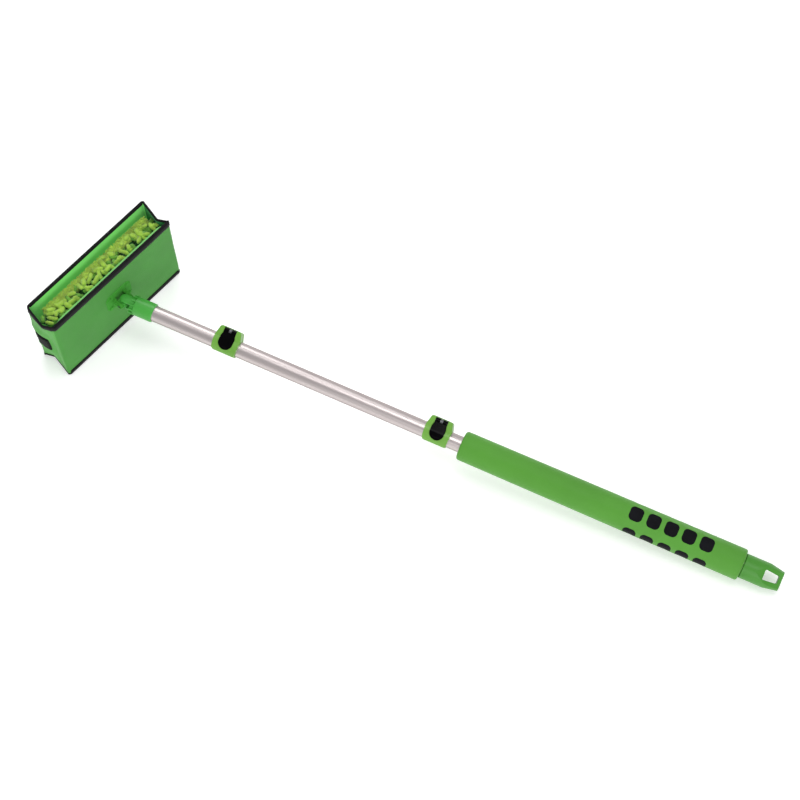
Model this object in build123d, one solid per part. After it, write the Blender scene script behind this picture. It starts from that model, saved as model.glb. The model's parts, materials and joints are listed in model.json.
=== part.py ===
from build123d import *
import os
from math import asin, atan2, cos, radians, sin

# Window cleaning pole: a flat head in a fabric pouch, a universal joint, three tube sections
# joined by two lever couplers, a foam grip and a hanging cap.
# Row frame: +Z up, +X out of the pouch's front panel, origin under the middle of the whole.
# The pole is drawn along its own +X from the universal joint's centre, then turned into place.

# ---------------------------------------------------------------- driving dimensions (mm)
TUBE_OD = 22.0
TUBE_WALL = 1.0
BAG_LENGTH = 220.0
BAG_DEPTH = 52.0
BAG_HEIGHT = 134.0
BAG_WALL = 1.5          # plain fabric walls: ends and bottom
FRONT_WALL = 3.0        # foam-cored front panel
BACK_WALL = 3.0         # foam-cored back panel
JOINT_HEIGHT = 76.8
JOINT_STANDOFF = 13.5
POLE_YAW = radians(17.0)
COUPLER_ROLL = 24.0
GRIP_D_FRONT = 40.4
GRIP_D_REAR = 43.0

# Stations along the pole, from the universal joint's centre
NECK_START = 10.6
SOCKET_START = 16.8
SOCKET_END = 44.3
COUPLER_STARTS = (135.0, 445.6)
COUPLER_LENGTH = 36.0
GRIP_START = 499.8
GRIP_END = 897.9
CAP_END = 951.2

RUNNING = 0.05          # radial clearance of every running fit
PARTS_DIR = "parts"

# How far each pivot goes from straight, in degrees
TILT_LIMIT = 45.0
SWIVEL_LIMIT = 30.0
LEVER_OPEN = 110.0

# ---------------------------------------------------------------- derived frame of the pole
TUBE_R = TUBE_OD / 2
TUBE_BORE_R = TUBE_R - TUBE_WALL
GRIP_CONTACT = GRIP_END - 3.0
POLE_SLOPE = asin((JOINT_HEIGHT - GRIP_D_REAR / 2) / GRIP_CONTACT)
POLE_DIR = Vector(
    cos(POLE_SLOPE) * cos(POLE_YAW), cos(POLE_SLOPE) * sin(POLE_YAW), -sin(POLE_SLOPE)
)
REST_TILT = atan2(sin(POLE_SLOPE), cos(POLE_SLOPE) * cos(POLE_YAW))
REST_SWIVEL = asin(POLE_DIR.Y)
JOINT_CENTRE = Vector(0, 0, JOINT_HEIGHT)
FRONT_FACE = -JOINT_STANDOFF
FRONT_INNER = FRONT_FACE - FRONT_WALL
BACK_FACE = FRONT_FACE - BAG_DEPTH
BACK_INNER = BACK_FACE + BACK_WALL
END_INNER = BAG_LENGTH / 2 - BAG_WALL
BAG_MID = (FRONT_FACE + BACK_FACE) / 2

knuckle_frame = Plane(
    origin=JOINT_CENTRE,
    x_dir=(cos(REST_TILT), 0, -sin(REST_TILT)),
    z_dir=(sin(REST_TILT), 0, cos(REST_TILT)),
)
socket_frame = Plane(origin=JOINT_CENTRE, x_dir=POLE_DIR, z_dir=knuckle_frame.z_dir)
_level = Vector(0, 0, 1) - POLE_DIR * POLE_DIR.Z
pole_frame = Plane(origin=JOINT_CENTRE, x_dir=POLE_DIR, z_dir=_level)
rolled_frame = Plane(pole_frame.location * Rot(COUPLER_ROLL, 0, 0))


def box(x0, x1, y0, y1, z0, z1):
    """A box between two opposite corners."""
    centre = ((x0 + x1) / 2, (y0 + y1) / 2, (z0 + z1) / 2)
    return Pos(*centre) * Box(x1 - x0, y1 - y0, z1 - z0)


def rod(radius, x0, x1, y=0.0, z=0.0):
    """A round bar along X."""
    return Pos((x0 + x1) / 2, y, z) * Rot(0, 90, 0) * Cylinder(radius, x1 - x0)


def rod_y(radius, y0, y1, x=0.0, z=0.0):
    """A round bar along Y."""
    return Pos(x, (y0 + y1) / 2, z) * Rot(90, 0, 0) * Cylinder(radius, y1 - y0)


def rod_z(radius, z0, z1, x=0.0, y=0.0):
    """A round bar along Z."""
    return Pos(x, y, (z0 + z1) / 2) * Cylinder(radius, z1 - z0)


def pipe(outer, inner, x0, x1):
    """A tube along X."""
    return rod(outer, x0, x1) - rod(inner, x0 - 1, x1 + 1)


def raised(outline, height):
    """A flat outline pushed up along Z."""
    return extrude(outline, height, dir=(0, 0, 1))


def plate_yz(width, height, radius, x0, x1, z=0.0):
    """A rounded rectangular plate facing X."""
    face = Plane(origin=(x0, 0, z), x_dir=(0, 1, 0), z_dir=(1, 0, 0)) * RectangleRounded(
        width, height, radius
    )
    return extrude(face, x1 - x0)


# ---------------------------------------------------------------- pouch (soft parts, simple solids)
HEM_OUT = 0.8
TOP_HEM = 9.0
BOTTOM_HEM = 9.0
INNER_HEM = 3.0
FOLD_IN = 8.0
FOLD_AT = 0.30
TAB_WIDTH = 24.0
TAB_HEIGHT = 36.0
TAB_THICK = 1.8


def gusset_outline(outer, fold, grow=0.0):
    """Plan outline of an end gusset; fold is how far its crease is pushed inwards."""
    side = 1 if outer > 0 else -1
    crease_x = FRONT_INNER - FOLD_AT * (FRONT_INNER - BACK_INNER)
    outside = outer + side * grow
    inside = outer - side * (BAG_WALL + grow)
    points = [
        (FRONT_INNER, outside),
        (crease_x, outside - side * fold),
        (BACK_INNER, outside),
        (BACK_INNER, inside),
        (crease_x, inside - side * fold),
        (FRONT_INNER, inside),
    ]
    return Polygon(*points, align=None)


def folded_tape(low, high, inner_leg):
    """Tape around the walls between two heights; inner_leg is how far it comes down inside."""
    half = BAG_LENGTH / 2
    beyond = half + HEM_OUT
    tape = box(BACK_FACE - HEM_OUT, FRONT_FACE + HEM_OUT, -beyond, beyond, low, high)
    tape -= box(
        BACK_INNER + HEM_OUT, FRONT_INNER - HEM_OUT, -END_INNER + HEM_OUT, beyond + 1,
        low - 1, high + 1,
    )
    tape -= box(BACK_INNER, FRONT_INNER, -END_INNER, beyond + 1, low - 1, high - inner_leg)
    right_end = Pos(0, 0, low) * gusset_outline(half, FOLD_IN, HEM_OUT)
    return tape + raised(right_end, high - low)


def make_pouch():
    """Front, back, ends, bottom, the black hems and the end tab."""
    half = BAG_LENGTH / 2
    base_rivets = [
        rod(RIVET_R, FRONT_INNER - 1, FRONT_FACE + 1, y, JOINT_HEIGHT + z) for y, z in RIVET_PLACES
    ]
    front = box(FRONT_INNER, FRONT_FACE, -half, half, 0, BAG_HEIGHT - HEM_OUT) - base_rivets
    back = box(BACK_FACE, BACK_INNER, -half, half, 0, BAG_HEIGHT - HEM_OUT)
    left = raised(gusset_outline(-half, 0.0), BAG_HEIGHT - HEM_OUT)
    right = raised(gusset_outline(half, FOLD_IN), BAG_HEIGHT - HEM_OUT)
    bottom = box(BACK_INNER, FRONT_INNER, -END_INNER, END_INNER, 0, BAG_WALL) - right
    bottom = bottom.solids().sort_by(SortBy.VOLUME)[-1]
    walls = [front, back, left, right]

    top_hem = folded_tape(BAG_HEIGHT - TOP_HEM, BAG_HEIGHT, INNER_HEM) - walls
    bottom_hem = folded_tape(0, BOTTOM_HEM, 0) - walls - bottom
    bottom_hem = bottom_hem.solids().sort_by(SortBy.VOLUME)[-1]

    tab_mid = BACK_FACE + 0.43 * BAG_DEPTH
    tab_low = BAG_HEIGHT / 2 - TAB_HEIGHT / 2
    left_tab = box(
        tab_mid - TAB_WIDTH / 2, tab_mid + TAB_WIDTH / 2,
        -half - TAB_THICK, -half, tab_low, tab_low + TAB_HEIGHT,
    )
    return {
        "bag_front_panel": front,
        "bag_back_panel": back,
        "bag_left_gusset": left,
        "bag_right_gusset": right,
        "bag_bottom_panel": bottom,
        "bag_rim_binding": top_hem,
        "bag_base_binding": bottom_hem,
        "bag_left_tab": left_tab,
    }


# ---------------------------------------------------------------- holder plate and cleaning pad
PLATE_THICK = 3.5
PLATE_LENGTH = 206.0
PLATE_LOW = 8.0
PLATE_HIGH = BAG_HEIGHT - 2.0
HOOK_THICK = 1.2
HOOK_HEIGHT = 18.0
PAD_LENGTH = 196.0
PAD_LOW = 9.0
PAD_HIGH = BAG_HEIGHT - 10.0
BACKING_THICK = 2.0
NOODLE_DEPTH = 20.0
PILE_DEPTH = 10.0
RIVET_R = 1.8
RIVET_HEAD_R = 3.4
RIVET_PLACES = [(y, z) for y in (-17, 17) for z in (-11, 11)]


def make_holder():
    """The stiff plate, its hook strips, and the pad that they hold."""
    plate_back = FRONT_INNER - PLATE_THICK
    hook_back = plate_back - HOOK_THICK
    backing_back = hook_back - BACKING_THICK
    noodle_back = backing_back - NOODLE_DEPTH
    pile_back = noodle_back - PILE_DEPTH
    plate_mid = (PLATE_LOW + PLATE_HIGH) / 2
    plate = plate_yz(PLATE_LENGTH, PLATE_HIGH - PLATE_LOW, 14, plate_back, FRONT_INNER, plate_mid)
    plate -= [
        rod(RIVET_R, plate_back - 1, FRONT_INNER + 1, y, JOINT_HEIGHT + z) for y, z in RIVET_PLACES
    ]
    hooks = [
        box(hook_back, plate_back, -PAD_LENGTH / 2 + 6, PAD_LENGTH / 2 - 6, low, low + HOOK_HEIGHT)
        for low in (PAD_LOW + 12, PAD_HIGH - 12 - HOOK_HEIGHT)
    ]
    pad_mid = (PAD_LOW + PAD_HIGH) / 2
    pad_height = PAD_HIGH - PAD_LOW
    return {
        "holder_plate": plate,
        "hook_strips": hooks,
        "pad_backing": plate_yz(PAD_LENGTH, pad_height, 10, backing_back, hook_back, pad_mid),
        "chenille_pile": plate_yz(PAD_LENGTH, pad_height, 10, noodle_back, backing_back, pad_mid),
        "short_pile": plate_yz(PAD_LENGTH - 6, pad_height - 4, 10, pile_back, noodle_back, pad_mid),
    }


# ---------------------------------------------------------------- universal joint
FLANGE_THICK = 2.0
EAR_IN = 7.4
EAR_OUT = 11.8
EAR_TIP = 4.4
EAR_ROOT = 3.5          # the thicker root of each ear on the flange
TILT_PIN_R = 2.0
KNUCKLE_HALF = 5.9
KNUCKLE_SIDE = 7.1
TRUNNION_R = 2.8
TRUNNION_END = 10.8
CHEEK_IN = 7.2
CHEEK_HALF = 6.2
FORK_R = 11.2
SOCKET_R = 13.2
RIB_COUNT = 12
SOCKET_RIVET_AT = 33.0
PLUG_RIVET_R = 1.6


def make_joint_base():
    """Flange, its two ears, the tilt pin and the four rivets that hold it to the plate."""
    flange_face = FRONT_FACE + FLANGE_THICK
    flange = plate_yz(46, 34, 10, FRONT_FACE, flange_face)
    flange = chamfer(flange.faces().sort_by(Axis.X)[-1].edges(), 0.8)
    for side in (-1, 1):
        y0, y1 = sorted((side * EAR_IN, side * EAR_OUT))
        flange += box(flange_face, 0, y0, y1, -EAR_TIP, EAR_TIP) + rod_y(EAR_TIP, y0, y1)
        root_z = EAR_TIP + 1.5
        flange += box(flange_face, flange_face + EAR_ROOT, y0, y1, -root_z, root_z)
    flange -= rod_y(TILT_PIN_R, -20, 20)
    flange -= [rod(RIVET_R, FRONT_FACE - 1, flange_face + 1, y, z) for y, z in RIVET_PLACES]
    tilt_pin = rod_y(TILT_PIN_R, -EAR_OUT - 0.6, EAR_OUT + 0.6)
    plate_back = FRONT_INNER - PLATE_THICK
    rivets = []
    for y, z in RIVET_PLACES:
        head = rod(RIVET_HEAD_R, flange_face, flange_face + 1.4, y, z)
        head = fillet(head.edges().sort_by(Axis.X)[-1], 0.9)
        shank = rod(RIVET_R, plate_back, flange_face, y, z)
        rivets.append(head + shank + rod(RIVET_HEAD_R, plate_back - 1.1, plate_back, y, z))
    lift = Pos(0, 0, JOINT_HEIGHT)
    return {
        "joint_base": lift * flange,
        "tilt_pin": lift * tilt_pin,
        "joint_rivets": [lift * rivet for rivet in rivets],
    }


def make_knuckle():
    """The cross block between the two pivots, with its upright trunnion."""
    block = Box(2 * KNUCKLE_HALF, 2 * KNUCKLE_SIDE, 2 * KNUCKLE_HALF)
    block = chamfer(block.edges().filter_by(Axis.Y), 1.4)
    block += rod_z(TRUNNION_R, -TRUNNION_END, TRUNNION_END)
    block -= rod_y(TILT_PIN_R + RUNNING, -20, 20)
    return {"joint_knuckle": knuckle_frame.location * block}


def make_neck_socket():
    """Fork, ribbed neck and the collar that holds the neck tube."""
    with BuildSketch() as profile:
        with BuildLine():
            CenterArc((0, 0), FORK_R, 90, 90)
            Polyline(
                (0, FORK_R),
                (SOCKET_START - 1.5, FORK_R),
                (SOCKET_START, SOCKET_R),
                (SOCKET_END - 1.0, SOCKET_R),
                (SOCKET_END, SOCKET_R - 1.0),
                (SOCKET_END, 0),
                (-FORK_R, 0),
            )
        make_face()
    body = revolve(profile.sketch, Axis.X)
    cheek_plan = box(0, NECK_START + 1, -CHEEK_HALF, CHEEK_HALF, -20, 20) + rod_z(CHEEK_HALF, -20, 20)
    cheek_room = cheek_plan - box(-20, 20, -20, 20, -CHEEK_IN, CHEEK_IN)
    body -= box(-20, NECK_START, -20, 20, -20, 20) - cheek_room
    for index in range(RIB_COUNT):
        angle = 360 * index / RIB_COUNT
        rib = box(NECK_START + 0.2, SOCKET_START + 2, -0.8, 0.8, FORK_R - 1, SOCKET_R + 0.4)
        body += Rot(angle, 0, 0) * rib
    socket = body - rod(TUBE_R, SOCKET_START + 4, SOCKET_END + 1)
    socket -= rod(TUBE_BORE_R - 2, NECK_START + 3, SOCKET_END + 1)
    socket -= rod_z(TRUNNION_R + RUNNING, -20, 20)
    socket -= rod_z(PLUG_RIVET_R, -20, 0, x=SOCKET_RIVET_AT)
    rivet = rod_z(PLUG_RIVET_R, -SOCKET_R, -TUBE_BORE_R + 0.8, x=SOCKET_RIVET_AT)
    rivet += rod_z(PLUG_RIVET_R + 1.2, -SOCKET_R - 0.8, -SOCKET_R + 0.4, x=SOCKET_RIVET_AT)
    socket -= rod_z(PLUG_RIVET_R + 1.2, -SOCKET_R - 2, -SOCKET_R + 0.4, x=SOCKET_RIVET_AT)
    return {
        "neck_socket": socket_frame.location * socket,
        "socket_rivet": socket_frame.location * rivet,
    }


# ---------------------------------------------------------------- tubes
TUBE_MEETING = 16.0     # the two tubes meet this far into a coupler
TUBE_GAP = 1.0          # half the width of the stop between them
SPIGOT_REACH = 50.0     # how far a spigot guides the next tube
SPIGOT_BACK = 30.0
SPIGOT_RIVET_BACK = 15.0
SPIGOT_WALL = 2.0


def make_tubes():
    """The three sections of the pole."""
    meet = [start + TUBE_MEETING for start in COUPLER_STARTS]
    neck = pipe(TUBE_R, TUBE_BORE_R, SOCKET_START + 4, meet[0] - TUBE_GAP)
    neck -= rod_z(PLUG_RIVET_R, -20, 0, x=SOCKET_RIVET_AT)
    neck -= rod_z(PLUG_RIVET_R, -20, 0, x=COUPLER_STARTS[0] - SPIGOT_RIVET_BACK)
    extension = pipe(TUBE_R, TUBE_BORE_R, meet[0] + TUBE_GAP, meet[1] - TUBE_GAP)
    extension -= rod_z(PLUG_RIVET_R, -20, 0, x=COUPLER_STARTS[1] - SPIGOT_RIVET_BACK)
    handle = pipe(TUBE_R, TUBE_BORE_R, meet[1] + TUBE_GAP, GRIP_END + 4)
    return {
        "neck_tube": socket_frame.location * neck,
        "extension_tube": pole_frame.location * extension,
        "handle_tube": pole_frame.location * handle,
    }


# ---------------------------------------------------------------- lever coupler
COLLAR_R = 13.0
SHIELD_R = 15.5
BOSS_TOP = 22.5
BOSS_FRONT = 13.5
BOSS_BACK = -9.0
RING_START = 2.0
SLIT_HALF = 0.6
PIN_Y = 17.5
PIN_Z = 9.6
PIN_R = 2.0
BARREL_R = 4.1
EAR_TOP = 5.2
LEVER_TOP_HALF = 8.4
LEVER_BULB_HALF = 9.8
LEVER_SHOULDERS = (8.0, 12.5)
LEVER_LOW = -7.6
LEVER_INNER = 13.4
LEVER_OUTER = 15.9
LEVER_MID = COUPLER_LENGTH / 2 + 1.0
POCKET_GAP = 0.6
BOLT_R = 1.9
EYE_HALF = 1.9


def lever_outline(gap=0.0):
    """Plan outline of the lever: a straight shank that widens to a round-ended bulb."""
    top = LEVER_TOP_HALF + gap
    bulb = LEVER_BULB_HALF + gap
    low = LEVER_LOW - gap
    shoulder, waist = (height + 2 * gap for height in LEVER_SHOULDERS)
    with BuildSketch() as sketch:
        with BuildLine():
            Polyline(
                (LEVER_MID - bulb, 1),
                (LEVER_MID - bulb, shoulder),
                (LEVER_MID - top, waist),
                (LEVER_MID - top, BOSS_TOP + 5),
                (LEVER_MID + top, BOSS_TOP + 5),
                (LEVER_MID + top, waist),
                (LEVER_MID + bulb, shoulder),
                (LEVER_MID + bulb, 1),
            )
            ThreePointArc((LEVER_MID + bulb, 1), (LEVER_MID, low), (LEVER_MID - bulb, 1))
        make_face()
    return sketch.sketch


def shield_outline():
    """Plan outline of the collar's face around the lever."""
    outline = Polygon(
        (RING_START, -COLLAR_R),
        (0.6, 9),
        (4.0, BOSS_TOP),
        (33.7, BOSS_TOP),
        (37.4, 10),
        (COUPLER_LENGTH, -COLLAR_R),
        align=None,
    )
    outline = fillet(outline.vertices().sort_by(Axis.Y)[-2:], 3.5)
    head_side = outline.vertices().sort_by(Axis.Y)[:2].sort_by(Axis.X)[0]
    outline = fillet(head_side, 5.0)
    grip_side = outline.vertices().sort_by(Axis.Y)[:2].sort_by(Axis.X)[-1]
    return fillet(grip_side, 3.0)


def make_collar():
    """The green clamp: a split ring with a boss of two ears and a pocket for the lever."""
    ring = rod(COLLAR_R, RING_START, COUPLER_LENGTH)
    ring = fillet(ring.edges(), 1.0)
    face = raised(shield_outline(), 40) & rod(SHIELD_R, -5, COUPLER_LENGTH + 5)
    boss = raised(Pos(0, 0, BOSS_BACK) * shield_outline(), BOSS_FRONT - BOSS_BACK)
    boss &= box(-5, 45, 4, BOSS_TOP, BOSS_BACK, BOSS_FRONT)
    boss = fillet(boss.faces().sort_by(Axis.Z)[-1].edges().sort_by(Axis.Y)[-1], 2.0)
    boss = fillet(boss.faces().sort_by(Axis.Z)[0].edges().sort_by(Axis.Y)[-1], 3.0)
    collar = ring + face + boss
    pocket = raised(lever_outline(POCKET_GAP), 40) - rod(LEVER_INNER - 0.2, -50, 80)
    pocket &= box(-50, 80, -50, PIN_Y, 0, 40) + box(-50, 80, PIN_Y, 60, EAR_TOP, 40)
    ear_slot = box(
        LEVER_MID - LEVER_TOP_HALF - POCKET_GAP, LEVER_MID + LEVER_TOP_HALF + POCKET_GAP,
        PIN_Y - 6, 60, EAR_TOP, 40,
    )
    collar -= pocket + (ear_slot - rod(LEVER_INNER - 0.2, -50, 80))
    collar -= rod(TUBE_R + RUNNING, -5, COUPLER_LENGTH + 5)
    collar -= Pos(COUPLER_LENGTH, 0, 0) * Rot(0, 90, 0) * Cone(
        TUBE_R, TUBE_R + 2.2, 2.4, align=(Align.CENTER, Align.CENTER, Align.MAX)
    )
    collar -= box(9, COUPLER_LENGTH + 5, 0, 60, -SLIT_HALF, SLIT_HALF)
    collar -= rod_z(BOLT_R + 0.2, -40, 20, x=LEVER_MID, y=PIN_Y)
    collar -= rod(PIN_R, 5, COUPLER_LENGTH - 5, PIN_Y, PIN_Z)
    nut_pocket = raised(Pos(LEVER_MID, PIN_Y, BOSS_BACK - 1) * RegularPolygon(4.1, 6), 2.6)
    return collar - nut_pocket


def make_lever():
    """The black cam lever, which lies around the collar when it is locked."""
    shell = rod(LEVER_OUTER, 0, COUPLER_LENGTH) & box(0, 50, -20, 9, 0, 40)
    bridge = Plane.YZ * Polygon(
        (4, 13.5), (4, 15.35), (PIN_Y - 2, PIN_Z + BARREL_R), (PIN_Y, PIN_Z), (PIN_Y - 3.5, 7.5),
        (9, 11), align=None,
    )
    profile = shell + extrude(bridge, COUPLER_LENGTH, dir=(1, 0, 0)) - rod(LEVER_INNER, -5, 60)
    profile += rod(BARREL_R, 0, COUPLER_LENGTH, PIN_Y, PIN_Z)
    lever = raised(lever_outline(), 40) & profile
    thumb_lip = rod(1.1, LEVER_MID - 6, LEVER_MID + 6, LEVER_LOW + 3.6, LEVER_OUTER - 1.5)
    lever += thumb_lip & raised(lever_outline(), 40)
    lever -= rod(PIN_R + RUNNING, -5, 60, PIN_Y, PIN_Z)
    eye_room = EYE_HALF + 0.3
    lever -= rod(BARREL_R + 0.4, LEVER_MID - eye_room, LEVER_MID + eye_room, PIN_Y, PIN_Z)
    return lever


def make_clamp_hardware():
    """Eye bolt, its nut and the lever's pin."""
    eye = rod(PIN_Z - EAR_TOP - 0.6, LEVER_MID - EYE_HALF, LEVER_MID + EYE_HALF, PIN_Y, PIN_Z)
    bolt = eye + rod_z(BOLT_R, BOSS_BACK - 3.4, PIN_Z, x=LEVER_MID, y=PIN_Y)
    bolt -= rod(PIN_R, 0, 50, PIN_Y, PIN_Z)
    nut = raised(Pos(LEVER_MID, PIN_Y, BOSS_BACK - 2.4) * RegularPolygon(4.0, 6), 3.2)
    nut -= rod_z(BOLT_R, -40, 20, x=LEVER_MID, y=PIN_Y)
    pin = rod(PIN_R, 5, COUPLER_LENGTH - 5, PIN_Y, PIN_Z)
    return bolt, nut, pin


def make_spigot():
    """Plug that is riveted into one tube and guides the next one; its rib stops both."""
    reach = TUBE_MEETING + SPIGOT_REACH
    outer = TUBE_BORE_R - RUNNING
    spigot = rod(outer, -SPIGOT_BACK, reach)
    spigot = chamfer(spigot.edges().sort_by(Axis.X)[-1], 1.5)
    spigot += rod(TUBE_R - 0.2, TUBE_MEETING - TUBE_GAP, TUBE_MEETING + TUBE_GAP)
    return spigot - rod(outer - SPIGOT_WALL, -SPIGOT_BACK - 1, reach + 1)


def make_coupler(number, start):
    """All pieces of one coupler, under names that end in its number."""
    bolt, nut, pin = make_clamp_hardware()
    place = rolled_frame.location * Pos(start, 0, 0)
    rivet_x = start - SPIGOT_RIVET_BACK
    rivet = rod_z(PLUG_RIVET_R, -TUBE_R, -TUBE_BORE_R + SPIGOT_WALL, x=rivet_x)
    rivet += rod_z(PLUG_RIVET_R + 1.0, -TUBE_R - 0.7, -TUBE_R + 0.02, x=rivet_x)
    rivet -= rod(TUBE_R, rivet_x - 9, rivet_x + 9) - rod_z(PLUG_RIVET_R, -20, 0, x=rivet_x)
    frame = socket_frame if number == 1 else pole_frame
    spigot = Pos(start, 0, 0) * make_spigot() - rod_z(PLUG_RIVET_R, -20, 0, x=rivet_x)
    return {
        f"coupler_collar_{number}": place * make_collar(),
        f"coupler_lever_{number}": place * make_lever(),
        f"lever_pin_{number}": place * pin,
        f"clamp_bolt_{number}": place * bolt,
        f"clamp_nut_{number}": place * nut,
        f"tube_spigot_{number}": frame.location * spigot,
        f"spigot_rivet_{number}": frame.location * rivet,
    }


# ---------------------------------------------------------------- handle
GRIP_END_ROUND = 3.2
PAD_ROWS = (-21.0, 69.0, 159.0, 249.0)
PAD_COLUMNS = 5
PAD_PITCH = 24.6
PAD_FIRST = GRIP_START + 247.0
PAD_AXIAL = 18.2
PAD_ROUND = 20.0
PAD_CORNER = 6.0
PAD_DEPTH = 1.7
PAD_SUNK = 0.5
CAP_R = 16.8
CAP_END_R = 13.2
CAP_END_HALF = 8.4
CAP_START = GRIP_END + 0.6
CAP_TAPER = 932.0       # the round cap narrows from here
CAP_FLATTEN = 914.0     # the loop starts to flatten here
PLUG_LENGTH = 28.0
HOLE_START = 927.0
HOLE_END = 946.6
HOLE_WIDE = 14.6
HOLE_NARROW = 10.4


def grip_radius(x):
    """Outer radius of the foam sleeve at a station."""
    share = (x - GRIP_START) / (GRIP_END - GRIP_START)
    return (GRIP_D_FRONT + share * (GRIP_D_REAR - GRIP_D_FRONT)) / 2


def pad_prism(x, angle, inside):
    """A rounded square that points away from the pole, cut off at a radius inside."""
    prism = Pos(x, 0, 0) * raised(RectangleRounded(PAD_AXIAL, PAD_ROUND, PAD_CORNER), 40)
    return Rot(angle, 0, 0) * (prism - rod(inside, x - 20, x + 20))


def make_grip():
    """Foam sleeve with a shallow seat for each rubber pad, and the pads."""
    sleeve = revolve(
        Plane.XY * Polygon(
            (GRIP_START, TUBE_R),
            (GRIP_START, GRIP_D_FRONT / 2),
            (GRIP_END, GRIP_D_REAR / 2),
            (GRIP_END, TUBE_R),
            align=None,
        ),
        Axis.X,
    )
    rims = sleeve.edges().filter_by(GeomType.CIRCLE)
    sleeve = fillet([rim for rim in rims if rim.radius > TUBE_R + 1], GRIP_END_ROUND)
    pads = []
    for angle in PAD_ROWS:
        for column in range(PAD_COLUMNS):
            x = PAD_FIRST + column * PAD_PITCH
            surface = grip_radius(x)
            prism = pad_prism(x, angle, surface - PAD_DEPTH)
            sleeve -= prism
            pads.append(prism & rod(surface - PAD_SUNK, x - 15, x + 15))
    return sleeve, pads


def cap_side():
    """Side outline of the cap: full height at the grip, flattened to a loop at its end."""
    middle = (CAP_FLATTEN + CAP_END) / 2 + 1
    bend = (CAP_R + CAP_END_HALF) / 2 - 0.6
    with BuildSketch(Plane.XZ) as side:
        with BuildLine():
            Polyline(
                (CAP_FLATTEN, CAP_R), (CAP_START, CAP_R), (CAP_START, -CAP_R), (CAP_FLATTEN, -CAP_R)
            )
            Spline(
                (CAP_FLATTEN, -CAP_R), (middle, -bend), (CAP_END, -CAP_END_HALF),
                tangents=((1, 0), (1, 0)),
            )
            Line((CAP_END, -CAP_END_HALF), (CAP_END, CAP_END_HALF))
            Spline(
                (CAP_END, CAP_END_HALF), (middle, bend), (CAP_FLATTEN, CAP_R),
                tangents=((-1, 0), (-1, 0)),
            )
        make_face()
    return side.sketch


def make_cap():
    """Hanging cap: a plug in the tube, a round barrel and a loop with a tapered hole."""
    cap = revolve(
        Plane.XY * Polygon(
            (CAP_START, 0), (CAP_START, CAP_R - 0.8), (CAP_START + 0.8, CAP_R), (CAP_TAPER, CAP_R),
            (CAP_END, CAP_END_R), (CAP_END, 0), align=None,
        ),
        Axis.X,
    )
    cap &= extrude(cap_side(), 40, both=True)
    hole = Polygon(
        (HOLE_START, -HOLE_WIDE / 2), (HOLE_START, HOLE_WIDE / 2),
        (HOLE_END, HOLE_NARROW / 2), (HOLE_END, -HOLE_NARROW / 2), align=None,
    )
    hole = fillet(hole.vertices(), 1.8)
    cap -= extrude(hole, 40, both=True)
    cap -= rod(TUBE_R, CAP_START - 1, GRIP_END + 4)
    return cap + rod(TUBE_BORE_R, GRIP_END + 4 - PLUG_LENGTH, GRIP_END + 5)


def make_handle():
    """Grip and cap, turned with the couplers."""
    sleeve, pads = make_grip()
    place = rolled_frame.location
    return {
        "grip_sleeve": place * sleeve,
        "grip_pads": [place * pad for pad in pads],
        "end_cap": place * make_cap(),
    }


# ---------------------------------------------------------------- assembly
def make_parts():
    """Every node by name; a node is one solid or a list of like solids."""
    parts = {}
    parts.update(make_pouch())
    parts.update(make_holder())
    parts.update(make_joint_base())
    parts.update(make_knuckle())
    parts.update(make_neck_socket())
    parts.update(make_tubes())
    for number, start in enumerate(COUPLER_STARTS, 1):
        parts.update(make_coupler(number, start))
    parts.update(make_handle())
    parts["bag_rim_binding"] -= parts["holder_plate"]
    return parts


def solids_of(shape):
    """The solids of a node as a flat list."""
    pieces = shape if isinstance(shape, list) else [shape]
    return [solid for piece in pieces for solid in piece.solids()]


parts = {name: solids_of(shape) for name, shape in make_parts().items()}
whole = Compound([solid for solids in parts.values() for solid in solids]).bounding_box()
middle = (whole.min + whole.max) / 2
CENTRE_SHIFT = Vector(-middle.X, -middle.Y, -whole.min.Z)

os.makedirs(PARTS_DIR, exist_ok=True)
for name, solids in parts.items():
    placed = [Pos(CENTRE_SHIFT) * solid for solid in solids]
    node = placed[0] if len(placed) == 1 else Compound(children=placed)
    export_step(node, f"{PARTS_DIR}/{name}.step")
print(f"{len(parts)} nodes, {whole.size.X:.0f} x {whole.size.Y:.0f} x {whole.size.Z:.0f} mm")
print(f"head tilts {TILT_LIMIT:.0f} and swivels {SWIVEL_LIMIT:.0f} degrees each way")
print(f"levers open {LEVER_OPEN:.0f} degrees")
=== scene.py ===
import json
import math
import random

import bpy
import bmesh
from mathutils import Matrix, Vector, noise


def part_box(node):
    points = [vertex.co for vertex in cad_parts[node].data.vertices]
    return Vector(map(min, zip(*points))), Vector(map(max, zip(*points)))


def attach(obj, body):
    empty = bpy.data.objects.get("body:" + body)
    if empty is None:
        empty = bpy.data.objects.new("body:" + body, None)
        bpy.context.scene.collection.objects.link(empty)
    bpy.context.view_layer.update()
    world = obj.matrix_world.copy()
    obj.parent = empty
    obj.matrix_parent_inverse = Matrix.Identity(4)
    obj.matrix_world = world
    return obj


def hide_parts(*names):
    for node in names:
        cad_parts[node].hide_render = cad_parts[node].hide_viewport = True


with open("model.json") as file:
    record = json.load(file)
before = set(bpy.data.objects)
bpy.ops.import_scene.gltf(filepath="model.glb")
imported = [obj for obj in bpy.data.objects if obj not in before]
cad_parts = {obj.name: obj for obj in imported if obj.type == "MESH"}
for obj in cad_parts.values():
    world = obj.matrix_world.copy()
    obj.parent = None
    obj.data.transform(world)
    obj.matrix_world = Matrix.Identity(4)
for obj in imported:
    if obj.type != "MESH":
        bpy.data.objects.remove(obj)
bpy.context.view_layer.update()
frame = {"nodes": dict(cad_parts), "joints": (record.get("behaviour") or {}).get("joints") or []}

MM = 0.001
JOINTS = {joint["name"]: joint for joint in frame["joints"]}
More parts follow.
